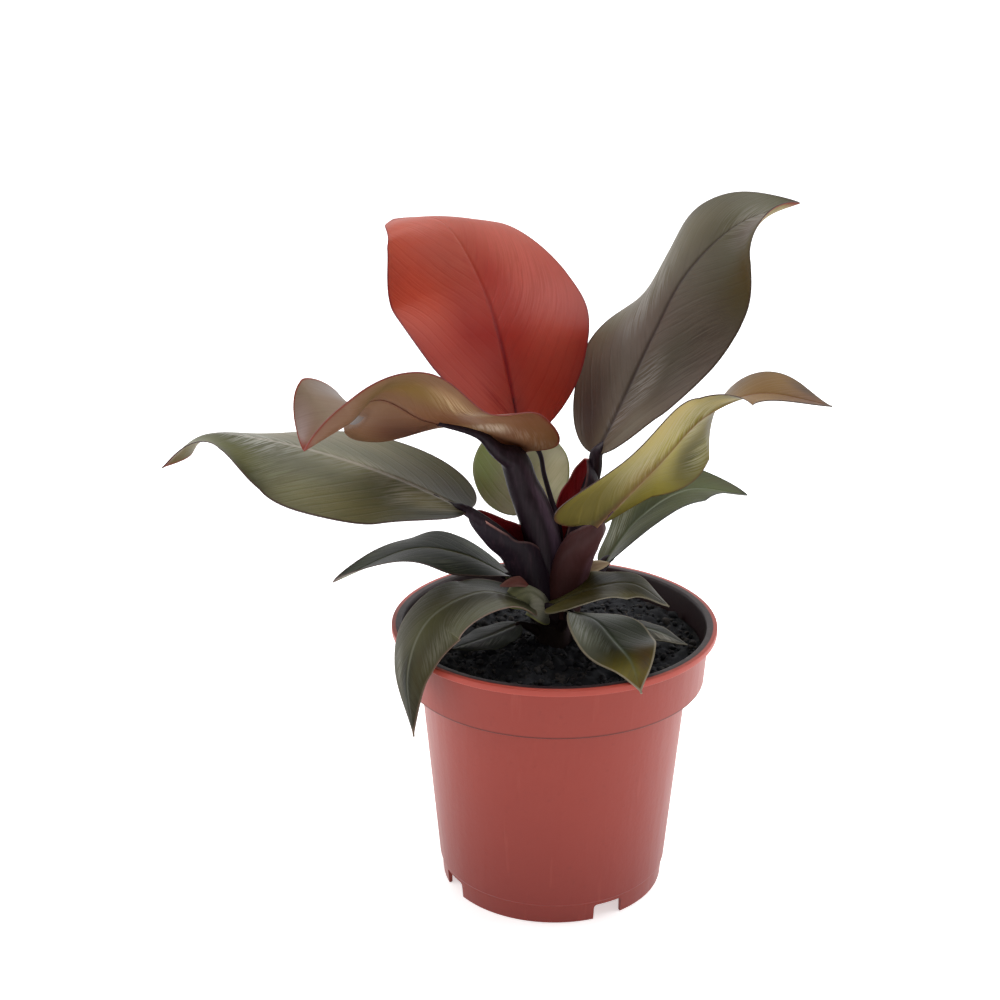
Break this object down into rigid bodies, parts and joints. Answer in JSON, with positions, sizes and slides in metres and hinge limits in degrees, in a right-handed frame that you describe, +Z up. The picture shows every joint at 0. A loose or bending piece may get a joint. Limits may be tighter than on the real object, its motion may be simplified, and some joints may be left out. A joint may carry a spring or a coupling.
{
  "type": "potted philodendron",
  "caption": "Young philodendron with broad, pointed bronze, red and grey-green leaves on dark petioles, growing in a round plastic nursery pot.",
  "frame": {"origin": "centre of the pot's base, in the plane it stands on", "axes": "+Z up along the pot's axis; the front of the plant, as pictured, faces -Y; +X is to the right as seen from the front"},
  "size_m": [0.2305, 0.1341, 0.2548],
  "materials": {
    "pot": "satin moulded, brick red",
    "soil": "rough, moist potting soil",
    "stem": "satin, dark purple",
    "leaf_red": "satin, with a soft sheen",
    "leaf_bronze": "satin underside, thin enough to glow against light",
    "leaf_long": "satin, with a silver sheen",
    "leaf_tall": "satin, with a silver sheen",
    "leaf_gold": "satin underside, thin enough to glow against light",
    "leaf_back": "satin",
    "leaf_right": "satin",
    "leaf_left": "satin",
    "leaf_droop": "satin",
    "leaf_front": "satin",
    "leaf_lip": "satin",
    "leaf_sliver": "satin",
    "leaf_low": "satin"
  },
  "bodies": {
    "root": {"pot": "pot", "soil": "soil", "stem": "stem", "leaf_red": "leaf_red", "leaf_bronze": "leaf_bronze", "leaf_long": "leaf_long", "leaf_tall": "leaf_tall", "leaf_gold": "leaf_gold", "leaf_back": "leaf_back", "leaf_right": "leaf_right", "leaf_left": "leaf_left", "leaf_droop": "leaf_droop", "leaf_front": "leaf_front", "leaf_lip": "leaf_lip", "leaf_sliver": "leaf_sliver", "leaf_low": "leaf_low"}
  },
  "joints": []
}
